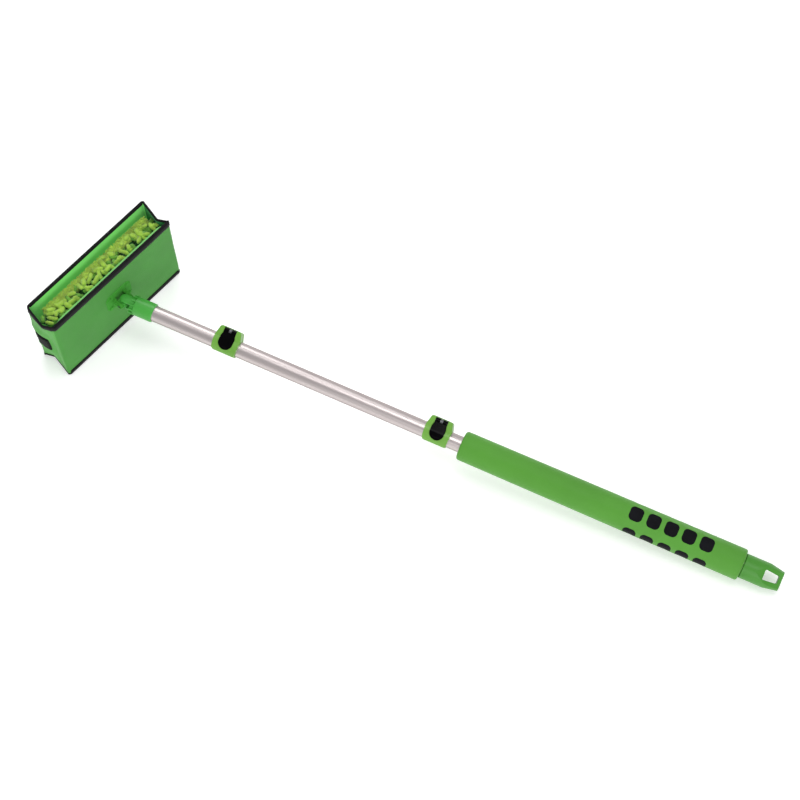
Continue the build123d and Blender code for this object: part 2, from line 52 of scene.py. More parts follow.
JOINT_CENTRE = Vector(JOINTS["head_tilt"]["pos_m"])
POLE_DIR = Vector(JOINTS["section_1_pull"]["axis"]).normalized()


def low(node):
    """Lowest corner of a CAD node."""
    return Vector(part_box(node)[0])


def high(node):
    """Highest corner of a CAD node."""
    return Vector(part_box(node)[1])


# ---------------------------------------------------------------- camera, lights and floor
VIEW_TARGET = Vector((-0.050, 0.052, 0.050))
VIEW_AZIMUTH = math.radians(41.95)
VIEW_ELEVATION = math.radians(63.51)
VIEW_DISTANCE = 2.5354
VIEW_ROLL = math.radians(-0.976)
VIEW_LENS = 85.1
HORIZON_GREY = (0.8, 0.8, 0.8, 1)
OVERHEAD_GREY = (0.5, 0.5, 0.51, 1)
FLOOR_HALF = 6.0
FLOOR_GAP = 0.2 * MM
FLOOR_GLOW = 0.33


def add_camera():
    """The camera looks down on the pole from the side of its handle."""
    forward = Vector((
        -math.sin(VIEW_AZIMUTH) * math.cos(VIEW_ELEVATION),
        math.cos(VIEW_AZIMUTH) * math.cos(VIEW_ELEVATION),
        -math.sin(VIEW_ELEVATION),
    ))
    data = bpy.data.cameras.new("camera")
    data.lens = VIEW_LENS
    data.sensor_width = 36.0
    data.clip_end = 50.0
    camera = bpy.data.objects.new("camera", data)
    bpy.context.collection.objects.link(camera)
    turn = forward.to_track_quat("-Z", "Y").to_matrix().to_4x4()
    roll = Matrix.Rotation(VIEW_ROLL, 4, "Z")
    camera.matrix_world = Matrix.Translation(VIEW_TARGET - forward * VIEW_DISTANCE) @ turn @ roll
    bpy.context.scene.camera = camera


def add_area_light(name, place, target, size, power):
    """A square soft light that points at a target."""
    data = bpy.data.lights.new(name, "AREA")
    data.shape = "SQUARE"
    data.size = size
    data.energy = power
    light = bpy.data.objects.new(name, data)
    bpy.context.collection.objects.link(light)
    light.location = place
    light.rotation_euler = (Vector(target) - Vector(place)).to_track_quat("-Z", "Y").to_euler()


def add_dome():
    """Surroundings that are brightest at the horizon."""
    world = bpy.data.worlds.new("studio")
    bpy.context.scene.world = world
    world.use_nodes = True
    nodes = world.node_tree.nodes
    links = world.node_tree.links
    background = nodes["Background"]
    where = nodes.new("ShaderNodeTexCoord")
    split = nodes.new("ShaderNodeSeparateXYZ")
    ramp = nodes.new("ShaderNodeValToRGB")
    stops = ramp.color_ramp.elements
    stops[0].position = 0.0
    stops[0].color = HORIZON_GREY
    stops[1].position = 0.55
    stops[1].color = OVERHEAD_GREY
    links.new(where.outputs["Generated"], split.inputs[0])
    links.new(split.outputs["Z"], ramp.inputs[0])
    links.new(ramp.outputs[0], background.inputs["Color"])
    background.inputs["Strength"].default_value = 1.0


def add_floor():
    """Plain white floor, just below the object."""
    mesh = bpy.data.meshes.new("floor")
    half = FLOOR_HALF
    mesh.from_pydata(
        [(-half, -half, 0), (half, -half, 0), (half, half, 0), (-half, half, 0)], [], [(0, 1, 2, 3)]
    )
    floor = bpy.data.objects.new("floor", mesh)
    bpy.context.collection.objects.link(floor)
    floor.location.z = -FLOOR_GAP
    paint = bpy.data.materials.new("floor_white")
    paint.use_nodes = True
    shader = paint.node_tree.nodes["Principled BSDF"]
    shader.inputs["Base Color"].default_value = (0.9, 0.9, 0.9, 1)
    shader.inputs["Roughness"].default_value = 0.9
    shader.inputs["Specular IOR Level"].default_value = 0.0
    shader.inputs["Emission Color"].default_value = (1.0, 1.0, 1.0, 1)
    shader.inputs["Emission Strength"].default_value = FLOOR_GLOW
    mesh.materials.append(paint)


def add_studio():
    """Pale floor, a bright dome, and three large soft lights."""
    view = bpy.context.scene.view_settings
    view.view_transform = "Standard"
    view.look = "None"
    add_dome()
    add_area_light("key", (-1.9, 1.5, 2.3), (-0.1, 0, 0), 1.7, 26)
    add_area_light("front_fill", (1.7, -1.9, 1.4), (-0.1, 0, 0), 1.8, 28)
    add_area_light("top_fill", (0.3, 0.4, 3.6), (-0.2, 0, 0), 1.6, 34)
    add_floor()


# ---------------------------------------------------------------- material helpers
def srgb(red, green, blue):
    """A display colour from 0 to 255 as linear light."""
    def linear(value):
        value /= 255
        return value / 12.92 if value <= 0.04045 else ((value + 0.055) / 1.055) ** 2.4
    return (linear(red), linear(green), linear(blue), 1.0)


class Surface:
    """A small builder for one procedural material."""

    def __init__(self, name, roughness=0.5, metallic=0.0, specular=0.5, sheen=0.0):
        self.material = bpy.data.materials.new(name)
        self.material.use_nodes = True
        self.tree = self.material.node_tree
        self.shader = self.tree.nodes["Principled BSDF"]
        self.set("Roughness", roughness)
        self.set("Metallic", metallic)
        self.set("Specular IOR Level", specular)
        self.set("Sheen Weight", sheen)
        self.coords = self.tree.nodes.new("ShaderNodeTexCoord").outputs["Object"]
        self.height = None

    def set(self, socket, value):
        self.shader.inputs[socket].default_value = value

    def link(self, source, target):
        self.tree.links.new(source, target)

    def node(self, kind, **settings):
        made = self.tree.nodes.new(kind)
        for key, value in settings.items():
            setattr(made, key, value)
        return made

    def along_pole(self):
        """Coordinates whose X runs along the pole."""
        mapping = self.node("ShaderNodeMapping", vector_type="TEXTURE")
        mapping.inputs["Location"].default_value = JOINT_CENTRE
        mapping.inputs["Rotation"].default_value = POLE_DIR.to_track_quat("X", "Z").to_euler()
        self.link(self.coords, mapping.inputs["Vector"])
        self.coords = mapping.outputs["Vector"]
        return self

    def stretched(self, x, y, z):
        """Coordinates scaled on each axis."""
        mapping = self.node("ShaderNodeMapping")
        mapping.inputs["Scale"].default_value = (x, y, z)
        self.link(self.coords, mapping.inputs["Vector"])
        return mapping.outputs["Vector"]

    def noise(self, scale, detail=3.0, vector=None):
        made = self.node("ShaderNodeTexNoise")
        made.inputs["Scale"].default_value = scale
        made.inputs["Detail"].default_value = detail
        made.inputs["Roughness"].default_value = 0.55
        self.link(vector or self.coords, made.inputs["Vector"])
        return made.outputs["Fac"]

    def wave(self, scale, axis):
        made = self.node("ShaderNodeTexWave", bands_direction=axis)
        made.inputs["Scale"].default_value = scale
        made.inputs["Detail"].default_value = 1.0
        self.link(self.coords, made.inputs["Vector"])
        return made.outputs["Fac"]

    def cells(self, scale):
        made = self.node("ShaderNodeTexVoronoi")
        made.inputs["Scale"].default_value = scale
        self.link(self.coords, made.inputs["Vector"])
        return made.outputs["Distance"]

    def maths(self, operation, first, second):
        made = self.node("ShaderNodeMath", operation=operation)
        for index, value in enumerate((first, second)):
            if isinstance(value, (int, float)):
                made.inputs[index].default_value = value
            else:
                self.link(value, made.inputs[index])
        return made.outputs[0]

    def ramp(self, factor, *stops):
        """A colour ramp; each stop is (position, colour)."""
        made = self.node("ShaderNodeValToRGB")
        elements = made.color_ramp.elements
        while len(elements) < len(stops):
            elements.new(0.5)
        for element, (position, colour) in zip(elements, stops):
            element.position = position
            element.color = colour
        self.link(factor, made.inputs[0])
        return made.outputs[0]

    def mix(self, factor, source, colour):
        """A texture's colour, mixed towards a plain colour by a factor."""
        made = self.node("ShaderNodeMix", data_type="RGBA")
        self.link(factor, made.inputs[0])
        self.link(source, made.inputs[6])
        made.inputs[7].default_value = colour
        return made.outputs[2]

    def colour(self, source):
        self.link(source, self.shader.inputs["Base Color"])

    def roughness_from(self, factor, lowest, highest):
        spread = self.node("ShaderNodeMapRange")
        spread.inputs["To Min"].default_value = lowest
        spread.inputs["To Max"].default_value = highest
        self.link(factor, spread.inputs["Value"])
        self.link(spread.outputs[0], self.shader.inputs["Roughness"])

    def bump(self, factor, depth_mm, strength=1.0):
        """Adds relief of a depth in millimetres; calls stack."""
        made = self.node("ShaderNodeBump")
        made.inputs["Strength"].default_value = strength
        made.inputs["Distance"].default_value = depth_mm * MM
        self.link(factor, made.inputs["Height"])
        if self.height is not None:
            self.link(self.height, made.inputs["Normal"])
        self.height = made.outputs["Normal"]
        self.link(self.height, self.shader.inputs["Normal"])


def shade(colour, amount):
    """A colour made lighter or darker."""
    return tuple(min(1.0, channel * amount) for channel in colour[:3]) + (1.0,)


# ---------------------------------------------------------------- materials
BANDS_PER_SCALE = 3.14     # bands per metre that a wave texture draws for each unit of scale
POUCH_GREEN = srgb(62, 140, 46)
# The ends' outside is painted paler than the front and back: painted light falling on the ends.
LIT_GUSSET_GREEN = srgb(81, 161, 65)
LINING_GREEN = srgb(138, 236, 124)
# Dark teal on the inside of the ends: painted shade inside the folded ends.
SHADED_GUSSET_LINING = srgb(46, 146, 84)
MOULDED_GREEN = srgb(70, 164, 62)
COLLAR_GREEN = srgb(108, 166, 60)
FOAM_GREEN = srgb(80, 150, 44)
CAP_GREEN = srgb(68, 142, 42)
STRAND_GREEN = srgb(168, 210, 80)
# Strands of the lower layers are painted darker: painted shade between the strands of the heap.
SHADED_STRAND_GREEN = srgb(116, 176, 66)
STRAND_SHADE = srgb(40, 112, 52)
PILE_GREEN = srgb(190, 224, 92)


def woven(name, colour, thread_mm=0.55, painted_glow=0.0):
    """Tight plain-weave nylon cloth; any emission is painted light, a glow that stands in for light a
    thin wall lets through.
    """
    made = Surface(name, roughness=0.68, specular=0.3, sheen=0.08)
    made.set("Emission Color", colour)
    made.set("Emission Strength", painted_glow)
    scale = 1000 / thread_mm / 2 / BANDS_PER_SCALE
    warp = made.wave(scale, "Y")
    weft = made.wave(scale, "Z")
    across = made.wave(scale, "X")
    weave = made.maths("MULTIPLY", made.maths("MAXIMUM", warp, across), weft)
    blotch = made.noise(14, 4)
    made.colour(made.mix(
        made.maths("MULTIPLY", weave, 0.22),
        made.ramp(blotch, (0.3, shade(colour, 0.90)), (0.7, shade(colour, 1.08))),
        shade(colour, 0.72),
    ))
    made.bump(made.noise(60, 3), 0.25, 0.5)
    made.bump(weave, 0.12, 0.6)
    return made.material


def tape_cloth(name):
    """Black grosgrain binding tape."""
    made = Surface(name, roughness=0.7, specular=0.12, sheen=0.03)
    ribs = made.maths("MAXIMUM", made.wave(340, "Y"), made.wave(340, "X"))
    made.colour(made.ramp(made.noise(90, 3), (0.3, srgb(12, 12, 13)), (0.75, srgb(26, 25, 27))))
    made.bump(ribs, 0.15, 0.5)
    return made.material


def hook_cloth(name):
    """Black hook-and-loop strap with a coarse furry face."""
    made = Surface(name, roughness=0.85, specular=0.12, sheen=0.05)
    dots = made.cells(900)
    made.colour(made.ramp(dots, (0.05, srgb(52, 52, 54)), (0.5, srgb(10, 10, 11))))
    made.bump(dots, 0.5, 0.9)
    return made.material


def chenille(name, colour):
    """Soft chenille: short fibres across each strand."""
    made = Surface(name, roughness=0.9, specular=0.1, sheen=0.35)
    fibre = made.noise(1500, 2)
    clump = made.noise(80, 3)
    made.colour(made.mix(
        made.maths("MULTIPLY", fibre, 0.5),
        made.ramp(clump, (0.34, shade(colour, 0.62)), (0.5, colour), (0.7, shade(colour, 1.25))),
        shade(colour, 0.6),
    ))
    made.bump(clump, 1.0, 0.5)
    made.bump(fibre, 0.5, 0.8)
    return made.material


def moulded(name, colour, roughness=0.36, along=True, specular=0.4):
    """Moulded plastic with a fine spark-eroded skin."""
    made = Surface(name, roughness=roughness, specular=specular)
    if along:
        made.along_pole()
    made.colour(made.ramp(made.noise(30, 4), (0.3, shade(colour, 0.93)), (0.7, shade(colour, 1.06))))
    grain = made.noise(2600, 2)
    made.roughness_from(made.noise(70, 3), roughness - 0.06, roughness + 0.08)
    made.bump(grain, 0.03, 0.35)
    return made.material


def aluminium(name):
    """Satin anodised tube with fine drawing lines along it."""
    made = Surface(name, roughness=0.3, metallic=1.0)
    made.set("Specular Tint", srgb(150, 142, 142))
    made.along_pole()
    lines = made.noise(1.0, 4, made.stretched(14, 2600, 2600))
    broad = made.noise(1.0, 3, made.stretched(5, 220, 220))
    made.colour(made.mix(
        made.maths("MULTIPLY", lines, 0.5),
        made.ramp(broad, (0.3, srgb(200, 190, 189)), (0.7, srgb(214, 206, 204))),
        srgb(176, 165, 164),
    ))
    made.roughness_from(lines, 0.28, 0.42)
    made.bump(lines, 0.02, 0.35)
    return made.material


def steel(name, base=(104, 105, 108)):
    """Zinc-plated steel."""
    made = Surface(name, roughness=0.32, metallic=1.0)
    dull = srgb(*(channel - 18 for channel in base))
    made.colour(made.ramp(made.noise(400, 3), (0.3, dull), (0.7, srgb(*base))))
    made.roughness_from(made.noise(300, 3), 0.25, 0.45)
    made.bump(made.noise(1800, 2), 0.02, 0.4)
    return made.material


def foam(name):
    """Closed-cell foam skin: matt, slightly mottled, with small pores."""
    made = Surface(name, roughness=0.62, specular=0.35, sheen=0.1)
    made.along_pole()
    made.colour(made.ramp(
        made.noise(16, 4), (0.3, shade(FOAM_GREEN, 0.94)), (0.7, shade(FOAM_GREEN, 1.05))
    ))
    pores = made.cells(1400)
    made.roughness_from(made.noise(50, 3), 0.52, 0.68)
    made.bump(made.noise(160, 3), 0.12, 0.4)
    made.bump(pores, 0.05, 0.4)
    return made.material


def rubber(name):
    """Black soft rubber with a faint bloom."""
    made = Surface(name, roughness=0.6, specular=0.1)
    made.along_pole()
    made.colour(made.ramp(made.noise(70, 4), (0.3, srgb(5, 5, 9)), (0.75, srgb(16, 16, 22))))
    made.bump(made.cells(1500), 0.06, 0.5)
    return made.material


def gloss_black(name):
    """Glossy black plastic with faint handling marks."""
    made = Surface(name, roughness=0.14, specular=0.05)
    made.along_pole()
    made.colour(made.ramp(made.noise(60, 3), (0.3, srgb(2, 2, 3)), (0.7, srgb(6, 5, 7))))
    made.roughness_from(made.noise(120, 4), 0.06, 0.16)
    made.bump(made.noise(1500, 2), 0.01, 0.3)
    return made.material


def thread(name, colour):
    """Sewing thread."""
    made = Surface(name, roughness=0.6, sheen=0.2)
    made.colour(made.ramp(made.noise(2200, 2), (0.3, shade(colour, 0.7)), (0.7, colour)))
    made.bump(made.wave(1500, "Y"), 0.05, 0.6)
    return made.material


def make_materials():
    """Every material of the object by its short name."""
    return {
        "pouch": woven("pouch_cloth", POUCH_GREEN),
        "gusset": woven("gusset_cloth_painted_light", LIT_GUSSET_GREEN),
        "shaded_gusset_lining": woven("shaded_gusset_lining", SHADED_GUSSET_LINING),
        # The lining's emission is painted light: a glow in place of light coming through the thin cloth.
        "lining": woven("pouch_lining", LINING_GREEN, thread_mm=0.7, painted_glow=0.12),
        "tape": tape_cloth("binding_tape"),
        "hook": hook_cloth("hook_strap"),
        "strand": chenille("chenille_strand", STRAND_GREEN),
        "shaded_strand": chenille("chenille_shaded_strand", SHADED_STRAND_GREEN),
        "pile": chenille("short_pile", PILE_GREEN),
        "core": chenille("chenille_painted_shade", STRAND_SHADE),
        "flange": moulded("flange_plastic", srgb(66, 150, 52), 0.66, specular=0.08),
        "holder": moulded("holder_plastic", srgb(120, 205, 104), 0.42, along=False),
        "socket": moulded("socket_plastic", MOULDED_GREEN, 0.30),
        "collar": moulded("collar_plastic", COLLAR_GREEN, 0.34),
        "cap": moulded("cap_plastic", CAP_GREEN, 0.42),
        "spigot": moulded("spigot_nylon", srgb(52, 52, 56), 0.45),
        "tube": aluminium("anodised_aluminium"),
        "steel": steel("zinc_steel"),
        "rivet": steel("rivet_aluminium", (196, 194, 192)),
        "foam": foam("grip_foam"),
        "rubber": rubber("pad_rubber"),
        "lever": gloss_black("lever_plastic"),
        "thread": thread("black_thread", srgb(58, 58, 60)),
    }


def paint_cad(materials):
    """Gives each CAD node that stays in view its material."""
    plan = {
        "holder": ["holder_plate"],
        "hook": ["hook_strips"],
        "socket": ["joint_knuckle", "neck_socket"],
        "steel": ["tilt_pin"],
        "flange": ["joint_base", "joint_rivets"],
        "rivet": ["socket_rivet"],
        "tube": ["neck_tube", "extension_tube", "handle_tube"],
        "foam": ["grip_sleeve"],
        "rubber": ["grip_pads"],
        "cap": ["end_cap"],
    }
    for number in (1, 2):
        plan.setdefault("collar", []).append(f"coupler_collar_{number}")
        plan.setdefault("lever", []).append(f"coupler_lever_{number}")
        plan["steel"] += [f"{part}_{number}" for part in ("lever_pin", "clamp_bolt", "clamp_nut")]
        plan.setdefault("spigot", []).append(f"tube_spigot_{number}")
        plan["rivet"].append(f"spigot_rivet_{number}")
    for short_name, nodes in plan.items():
        for node in nodes:
            shape = frame["nodes"][node]
            shape.data.materials.clear()
            shape.data.materials.append(materials[short_name])


# ---------------------------------------------------------------- mesh helpers
def place_mesh(mesh, material, body):
    """Puts a smooth-shaded mesh into the scene, riding on a body; material may be a list."""
    for item in material if isinstance(material, list) else [material]:
        mesh.materials.append(item)
    mesh.polygons.foreach_set("use_smooth", [True] * len(mesh.polygons))
    mesh.update()
    piece = bpy.data.objects.new(mesh.name, mesh)
    bpy.context.collection.objects.link(piece)
    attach(piece, body)
    return piece


def new_piece(name, points, faces, material, body):
    """A mesh object made of points and faces."""
    mesh = bpy.data.meshes.new(name)
    mesh.from_pydata([tuple(point) for point in points], [], faces)
    mesh.validate()
    return place_mesh(mesh, material, body)


def subdivide(piece):
    """Smooths a piece with one level of subdivision surface."""
    modifier = piece.modifiers.new("smooth", "SUBSURF")
    modifier.levels = 1
    modifier.render_levels = 1


def grid_faces(rows, columns, start=0, wrap=False, flip=False):
    """Quads over a grid of points stored row by row."""
    faces = []
    last = columns if wrap else columns - 1
    for row in range(rows - 1):
        for column in range(last):
            a = start + row * columns + column
            b = start + row * columns + (column + 1) % columns
            quad = (a, b, b + columns, a + columns)
            faces.append(quad[::-1] if flip else quad)
    return faces


def tube_mesh(path, radii, sides=8, twist=0.0):
    """Points and faces of a round-ended tube along a path."""
    points = []
    side = Vector((0, 0, 1))
    for index, here in enumerate(path):
        ahead = path[min(index + 1, len(path) - 1)] - path[max(index - 1, 0)]
        ahead.normalize()
        side = side - ahead * side.dot(ahead)
        if side.length < 1e-4:
            side = ahead.orthogonal()
        side.normalize()
        up = ahead.cross(side)
        for step in range(sides):
            angle = 2 * math.pi * step / sides + twist * index
            points.append(here + (side * math.cos(angle) + up * math.sin(angle)) * radii[index])
    faces = grid_faces(len(path), sides, wrap=True)
    faces.append(tuple(range(sides))[::-1])
    faces.append(tuple(range((len(path) - 1) * sides, len(path) * sides)))
    return points, faces


def merge(meshes):
    """Joins several (points, faces) into one."""
    points = []
    faces = []
    for some_points, some_faces in meshes:
        base = len(points)
        points += some_points
        faces += [tuple(index + base for index in face) for face in some_faces]
    return points, faces


# ---------------------------------------------------------------- the pouch
FRONT_X = high("bag_front_panel").x
BACK_X = low("bag_back_panel").x
LEFT_Y = low("bag_front_panel").y
RIGHT_Y = high("bag_front_panel").y
RIM_Z = high("bag_rim_binding").z
DEPTH = FRONT_X - BACK_X
LENGTH = RIGHT_Y - LEFT_Y
FRONT_WALL = FRONT_X - low("bag_front_panel").x
BACK_WALL = high("bag_back_panel").x - BACK_X
END_WALL = 1.5 * MM
CORNER = 4.2 * MM
LONG_STEPS = 56
SHORT_STEPS = 20
WALL_LEVELS = 30
HEM = 0.6 * MM             # cloth that the tape's edge hides
FLOOR_THICK = 2.2 * MM

# How far each wall stands proud or folds in, in millimetres, and where along it
FRONT_CROWN = 1.0
BACK_CROWN = 2.2
RIGHT_FOLD = 8.5
RIGHT_FOLD_AT = 0.30
LEFT_FLARE = 7.0
LEFT_FLARE_AT = 0.70
LEFT_VALLEY = 7.5
LEFT_VALLEY_AT = 0.31
LEFT_BELLY = 5.0
PUCKER_SWELL = 2.4
CREASE = 3.0
CREASE_AT = 0.72
SLACK_SWELL = 0.5

# The strap tab and the binding tape; the tab's place is in shares of the left end
TAB_LOW = 0.38
TAB_TOP = 0.64
TAB_START = 0.20
TAB_SPAN = 0.40
PUCKERS = (TAB_LOW - 0.06, TAB_TOP + 0.06)
TAPE_THICK = 0.8 * MM
TAPE_HIGH = 9.0 * MM
TAPE_INSIDE = 3.5 * MM
TAPE_HIGH_AT_ENDS = 3.4 * MM
TAPE_HIGH_AT_FOLD = 6.0 * MM
TAPE_LIP = 0.2 * MM
STITCH_PITCH = 3.2 * MM
STITCH_R = 0.24 * MM


def tent(share, peak, soft=0.06):
    """A fold: 0 at both ends, 1 at the peak, with a slightly rounded crest."""
    side = share / peak if share < peak else (1 - share) / (1 - peak)
    side = max(0.0, min(1.0, side))
    if side < 1 - soft:
        return side
    return (1 - soft) + soft * math.sin((side - 1 + soft) / soft * math.pi / 2)


def bell(value, peak, width):
    """A smooth hump: 1 at the peak, falling off over the width."""
    return math.exp(-((value - peak) / width) ** 2)


def perimeter():
    """The pouch's plan outline as (wall, share along it, point, outward normal), front wall first."""
    stops = []
    walls = (
        ("front", Vector((FRONT_X, LEFT_Y, 0)), Vector((0, 1, 0)), LENGTH, LONG_STEPS),
        ("right", Vector((FRONT_X, RIGHT_Y, 0)), Vector((-1, 0, 0)), DEPTH, SHORT_STEPS),
        ("back", Vector((BACK_X, RIGHT_Y, 0)), Vector((0, -1, 0)), LENGTH, LONG_STEPS),
        ("left", Vector((BACK_X, LEFT_Y, 0)), Vector((1, 0, 0)), DEPTH, SHORT_STEPS),
    )
    for wall, start, along, length, count in walls:
        outward = Vector((along.y, -along.x, 0))
        for step in range(count + 1):
            run = CORNER + (length - 2 * CORNER) * step / count
            stops.append((wall, run / length, start + along * run, outward))
        centre = start + along * (length - CORNER) - outward * CORNER
        for step in (1, 2, 3):
            angle = step / 4 * math.pi / 2
            normal = outward * math.cos(angle) + along * math.sin(angle)
            share = 1.0 if step < 3 else 0.0
            stops.append(("corner", share, centre + normal * CORNER, normal))
    return stops


def wall_offset(wall, share, rise):
    """How far a wall stands proud of its flat place, in metres, at a share along and a share up."""
    if wall == "front":
        crown = FRONT_CROWN * math.sin(math.pi * share) * math.sin(math.pi * rise)
        return crown * MM
    if wall == "back":
        crown = BACK_CROWN * math.sin(math.pi * share) * math.sin(math.pi * min(1, rise * 1.1))
        return crown * MM
    if wall == "right":
        fold = RIGHT_FOLD * tent(share, RIGHT_FOLD_AT) * (0.55 + 0.45 * rise)
        return -fold * MM
    if wall == "left":
        return left_offset(share, rise)
    return 0.0


def left_offset(share, rise):
    """The left end flares at the rim, folds in at the base, and bulges around the strap tab."""
    flare = LEFT_FLARE * tent(share, LEFT_FLARE_AT, 0.3) * rise ** 3
    valley = LEFT_VALLEY * tent(share, LEFT_VALLEY_AT) * (1 - rise) ** 2
    across = bell(share, 0.34, 0.30)
    belly = LEFT_BELLY * across * math.sin(math.pi * rise)
    pucker = sum(bell(rise, level, 0.045) for level in PUCKERS)
    crease = bell(share, CREASE_AT, 0.08) * math.sin(math.pi * min(1, 1.15 * rise))
    return (flare - valley + belly + PUCKER_SWELL * across * pucker - CREASE * crease) * MM


def wobble(point):
    """Small uneven swells of slack cloth."""
    swell = noise.noise(point * 22) + 0.4 * noise.noise(point * 61)
    return swell * SLACK_SWELL * MM


def pouch_point(stop, z, inset=0.0):
    """A point on the pouch's wall at a height, inset from its outer face."""
    wall, share, base, outward = stop
    rise = z / RIM_Z
    flat = Vector((base.x, base.y, z))
    edge = 1.0 if wall == "corner" else min(1.0, 12 * share, 12 * (1 - share))
    calm = min(1.0, 8 * (1 - rise), 8 * rise)
    proud = wall_offset(wall, share, rise) + wobble(flat) * edge * max(0.0, calm)
    return flat + outward * (proud - inset)


def wall_thickness(wall):
    """How thick a wall of the pouch is."""
    return {"front": FRONT_WALL, "back": BACK_WALL}.get(wall, END_WALL)


def make_pouch(materials):
    """Sewn pouch: one lofted shell with a green outside and a lighter lining."""
    stops = perimeter()
    heights = [RIM_Z * step / WALL_LEVELS for step in range(WALL_LEVELS + 1)]
    heights[0] = HEM
    heights[-1] = RIM_Z - HEM
    points = [pouch_point(stop, z) for z in heights for stop in stops]
    faces = grid_faces(len(heights), len(stops), wrap=True)
    outer_count = len(faces)
    inner_start = len(points)
    inner_heights = [max(z, FLOOR_THICK) for z in heights]
    points += [
        pouch_point(stop, z, wall_thickness(stop[0])) for z in inner_heights for stop in stops
    ]
    inner = grid_faces(len(heights), len(stops), inner_start, wrap=True, flip=True)
    faces += inner
    top_outer = (len(heights) - 1) * len(stops)
    top_inner = inner_start + top_outer
    for index in range(len(stops)):
        following = (index + 1) % len(stops)
        faces.append((top_outer + index, top_outer + following, top_inner + following, top_inner + index))
    faces.append(tuple(range(len(stops)))[::-1])
    faces.append(tuple(range(inner_start, inner_start + len(stops))))
    # Outside and lining of the front and back, then outside and lining of the two ends; the ends' outside
    # is painted paler (painted light) and their lining darker (painted shade)
    cloths = [materials[name] for name in ("pouch", "lining", "gusset", "shaded_gusset_lining")]
    pouch = new_piece("pouch_shell", points, faces, cloths, "head")
    for index in range(outer_count + len(inner)):
        inside = index >= outer_count
        gusset = stops[index % len(stops)][0] in ("left", "right")
        pouch.data.polygons[index].material_index = inside + 2 * gusset
    pouch.data.polygons[len(faces) - 1].material_index = 1
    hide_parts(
        "bag_front_panel", "bag_back_panel", "bag_left_gusset", "bag_right_gusset",
        "bag_bottom_panel",
    )
    return pouch


def tape_section(stop, rim):
    """The tape's cross-section at one stop, as (height, inset from the outer face)."""
    wall = wall_thickness(stop[0])
    if rim:
        return [
            (RIM_Z - TAPE_HIGH, 0.0),
            (RIM_Z - TAPE_HIGH + TAPE_LIP, -TAPE_THICK * 0.9),
            (RIM_Z - TAPE_HIGH * 0.5, -TAPE_THICK),
            (RIM_Z - 1.2 * MM, -TAPE_THICK),
            (RIM_Z - TAPE_LIP, -TAPE_THICK * 0.3),
            (RIM_Z, wall * 0.5),
            (RIM_Z - TAPE_LIP, wall + TAPE_THICK * 0.3),
            (RIM_Z - 1.2 * MM, wall + TAPE_THICK),
            (RIM_Z - TAPE_INSIDE, wall + TAPE_THICK * 0.9),
            (RIM_Z - TAPE_INSIDE - TAPE_LIP, wall),
        ]
    at_fold = stop[0] == "left" and stop[1] < 0.3
    tall = TAPE_HIGH if stop[0] in ("front", "back") else TAPE_HIGH_AT_ENDS
    tall = TAPE_HIGH_AT_FOLD if at_fold else tall
    return [
        (1.0 * MM, wall),
        (0.0, wall * 0.5),
        (0.1 * MM, -TAPE_THICK * 0.3),
        (1.0 * MM, -TAPE_THICK),
        (tall * 0.5, -TAPE_THICK),
        (tall - TAPE_LIP, -TAPE_THICK * 0.9),
        (tall, 0.0),
    ]


def make_tape(name, rim, node, materials):
    """Folded binding tape around the pouch."""
    stops = perimeter()
    points = []
    for stop in stops:
        for z, inset in tape_section(stop, rim):
            points.append(pouch_point(stop, z, inset))
    count = len(tape_section(stops[0], rim))
    faces = []
    for index in range(len(stops)):
        following = (index + 1) % len(stops)
        for step in range(count):
            after = (step + 1) % count
            faces.append((
                index * count + step, index * count + after, following * count + after,
                following * count + step,
            ))
    piece = new_piece(name, points, faces, materials["tape"], "head")
    bm = bmesh.new()
    bm.from_mesh(piece.data)
    bmesh.ops.recalc_face_normals(bm, faces=bm.faces)
    bm.to_mesh(piece.data)
    bm.free()
    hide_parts(node)


def make_stitches(name, z, inset, materials):
    """A row of lock stitches around the pouch at one height."""
    stops = perimeter()
    ring = [pouch_point(stop, z, inset) for stop in stops]
    outward = [stop[3] for stop in stops]
    meshes = []
    travelled = 0.0
    next_at = 0.0
    for index in range(len(ring)):
        here = ring[index]
        there = ring[(index + 1) % len(ring)]
        span = (there - here).length
        while next_at <= travelled + span:
            share = (next_at - travelled) / span
            middle = here.lerp(there, share)
            along = (there - here).normalized()
            normal = outward[index]
            half = along * STITCH_PITCH * 0.34
            path = [
                middle - half - normal * 0.15 * MM, middle - half * 0.6 + normal * 0.12 * MM,
                middle + half * 0.6 + normal * 0.12 * MM, middle + half - normal * 0.15 * MM,
            ]
            meshes.append(tube_mesh(path, [STITCH_R / 2, STITCH_R, STITCH_R, STITCH_R / 2], 6))
            next_at += STITCH_PITCH
        travelled += span
    points, faces = merge(meshes)
    new_piece(name, points, faces, materials["thread"], "head")


def make_tab(materials):
    """Hook-and-loop strap on the left end."""
    columns = 16
    rows = 22
    points = []
    for row in range(rows):
        up = row / (rows - 1)
        for column in range(columns):
            across = column / (columns - 1)
            share = TAB_START + TAB_SPAN * across + 0.03 * math.sin(up * 2.2)
            z = RIM_Z * (TAB_LOW + (TAB_TOP - TAB_LOW) * up) - 4 * MM * (across - 0.5) * up
            stop = ("left", share, Vector((BACK_X + DEPTH * share, LEFT_Y, 0)), Vector((0, -1, 0)))
            from_edge = min(across, 1 - across, up, 1 - up) * 12
            fur = 0.35 * noise.noise(Vector((share * 90, z * 900, 0)))
            thick = 2.6 * min(1.0, 0.25 + from_edge) + fur
            points.append(pouch_point(stop, z, -thick * MM))
    faces = grid_faces(rows, columns, flip=True)
    tab = new_piece("strap_tab", points, faces, materials["hook"], "head")
    solid = tab.modifiers.new("thick", "SOLIDIFY")
    solid.thickness = 1.5 * MM
    solid.offset = 1
    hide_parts("bag_left_tab")


